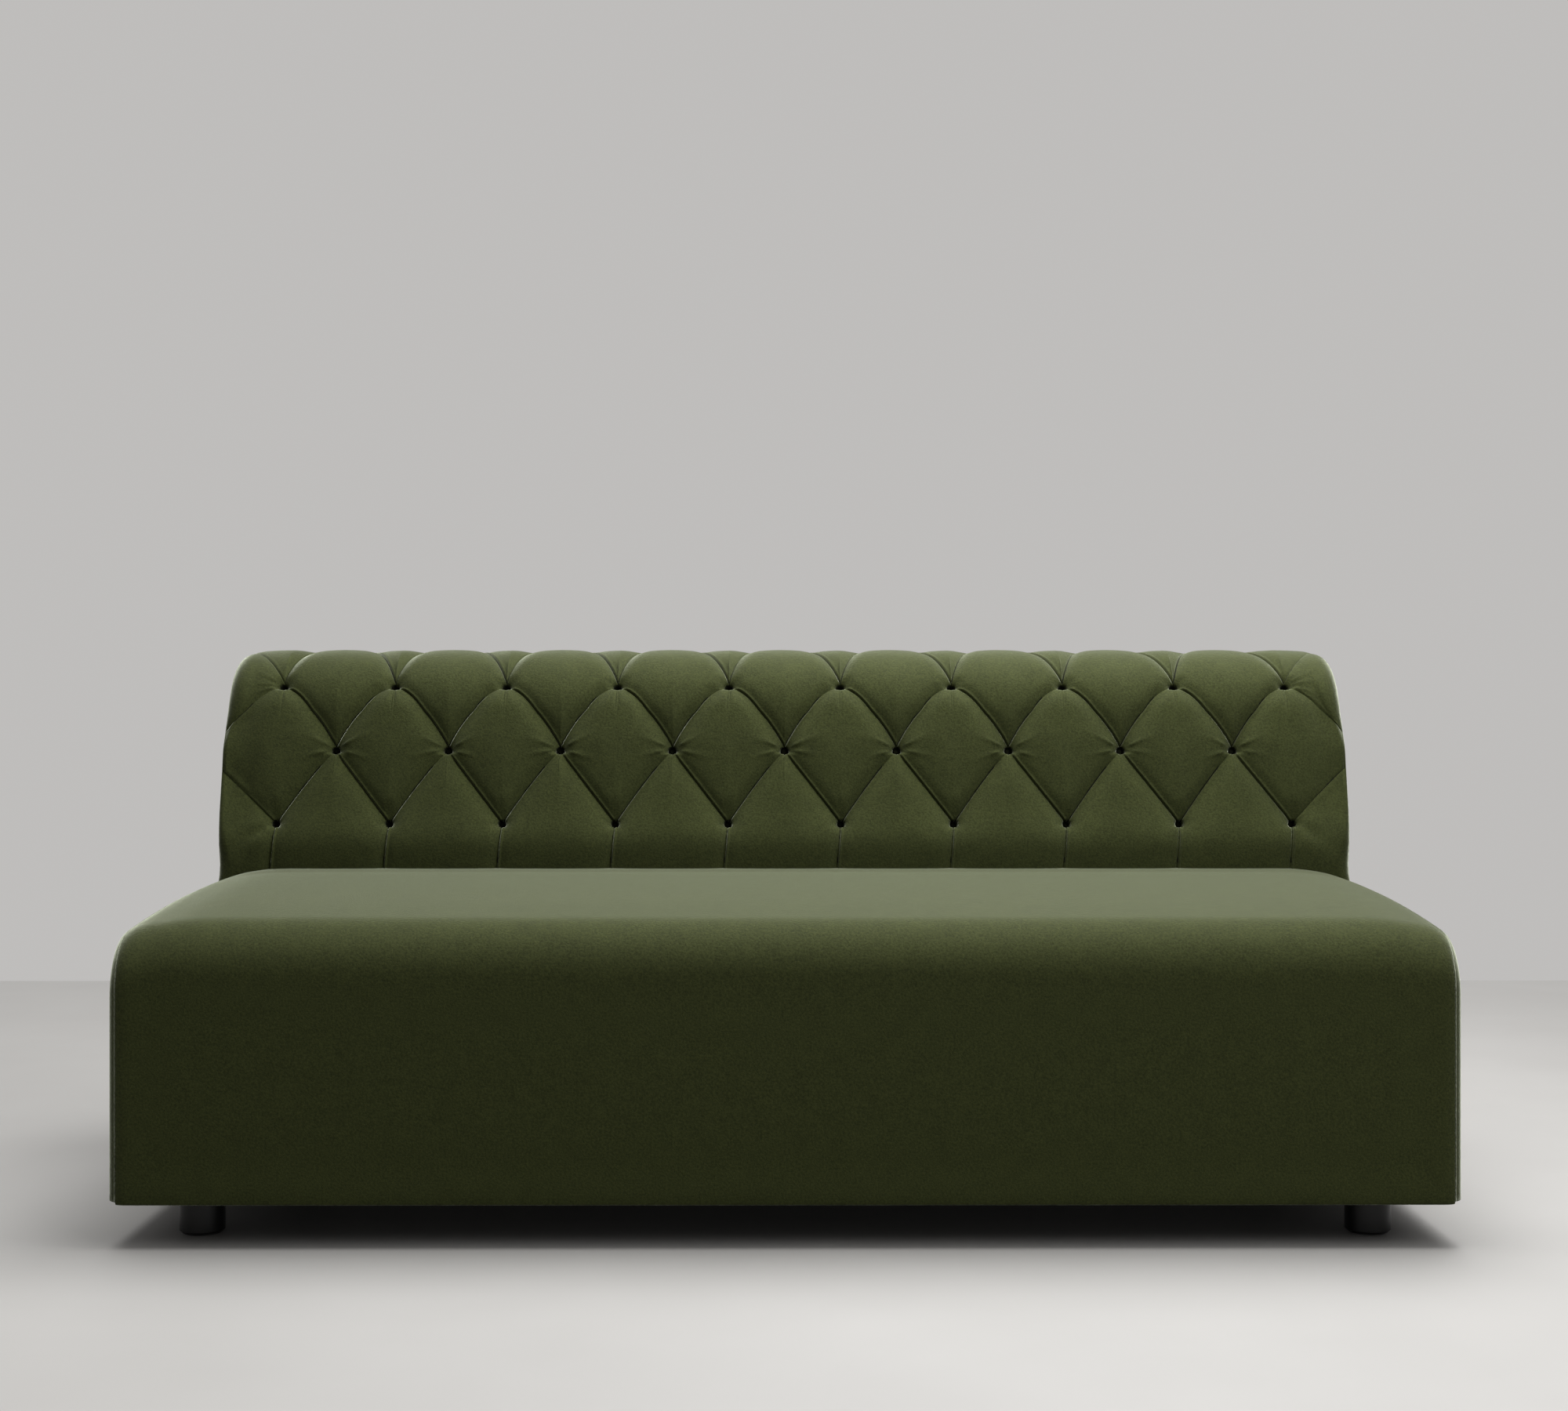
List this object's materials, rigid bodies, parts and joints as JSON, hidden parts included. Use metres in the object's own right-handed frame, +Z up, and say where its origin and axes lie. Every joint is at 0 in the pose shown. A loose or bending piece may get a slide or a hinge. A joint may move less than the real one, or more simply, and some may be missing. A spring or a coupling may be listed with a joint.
{
  "type": "modular sofa",
  "caption": "Armless sofa module with a tight crowned seat, a deep diamond-tufted back with a rolled top, short round feet and swing-out links under the base that lock it to the next module.",
  "frame": {"origin": "floor level, under the middle of the sofa's width and depth", "axes": "+X across the sofa, to the right as seen from the front, +Y from the front to the back, +Z up"},
  "size_m": [1.75, 0.8415, 0.7899],
  "materials": {
    "olive_fabric": "brushed velvet-like upholstery cloth with a soft sheen",
    "black_wood": "black satin lacquer",
    "plywood": "raw birch plywood",
    "foam": "open-cell foam",
    "batting": "white fibre wadding",
    "dust_cloth": "black non-woven cloth",
    "twine": "waxed twine",
    "spring_steel": "bright spring wire",
    "zinc_steel": "zinc plated",
    "black_plastic": "matte"
  },
  "bodies": {
    "sofa": {"back_batting": "batting", "back_bolts": "zinc_steel", "back_foam": "foam", "back_foot_rail": "plywood", "back_nuts": "zinc_steel", "back_rear_rail": "plywood", "back_washers": "zinc_steel", "connector_pivot_bolts": "zinc_steel", "connector_pivot_plates": "zinc_steel", "connector_screws": "zinc_steel", "dust_cover": "dust_cloth", "foot_bolts": "zinc_steel", "foot_glides": "black_plastic", "foot_tee_nuts": "zinc_steel", "frame_screws": "zinc_steel", "front_connector_stud": "zinc_steel", "front_left_corner_block": "plywood", "front_left_foot": "black_wood", "front_rail": "plywood", "front_right_corner_block": "plywood", "front_right_foot": "black_wood", "left_back_facing": "olive_fabric", "left_back_padding": "batting", "left_cross_rail": "plywood", "left_end_post": "plywood", "left_inner_post": "plywood", "left_seat_padding": "batting", "left_seat_side_cover": "olive_fabric", "left_side_rail": "plywood", "outside_back_board": "plywood", "outside_back_cover": "olive_fabric", "rear_connector_stud": "zinc_steel", "rear_left_corner_block": "plywood", "rear_left_foot": "black_wood", "rear_right_corner_block": "plywood", "rear_right_foot": "black_wood", "right_back_facing": "olive_fabric", "right_back_padding": "batting", "right_cross_rail": "plywood", "right_end_post": "plywood", "right_inner_post": "plywood", "right_seat_padding": "batting", "right_seat_side_cover": "olive_fabric", "right_side_rail": "plywood", "roll_core": "plywood", "seat_batting": "batting", "seat_cover": "olive_fabric", "seat_foam": "foam", "seat_springs": "spring_steel", "spring_clips": "black_plastic", "spring_pad": "batting", "spring_rail": "plywood", "spring_tie_wires": "spring_steel", "tuft_anchors": "zinc_steel", "tuft_buttons": "olive_fabric", "tuft_twines": "twine", "tufted_back_cover": "olive_fabric", "tufting_board": "plywood"},
    "front_link": {"front_connector_link": "zinc_steel"},
    "rear_link": {"rear_connector_link": "zinc_steel"}
  },
  "joints": [
    {"name": "front_link_swing", "type": "hinge", "parent": "sofa", "child": "front_link", "pos_m": [0.851, -0.22083, 0.0502], "axis": [0, 0, -1], "range_deg": [0, 90]},
    {"name": "rear_link_swing", "type": "hinge", "parent": "sofa", "child": "rear_link", "pos_m": [0.851, 0.23883, 0.0502], "axis": [0, 0, 1], "range_deg": [0, 90]}
  ]
}
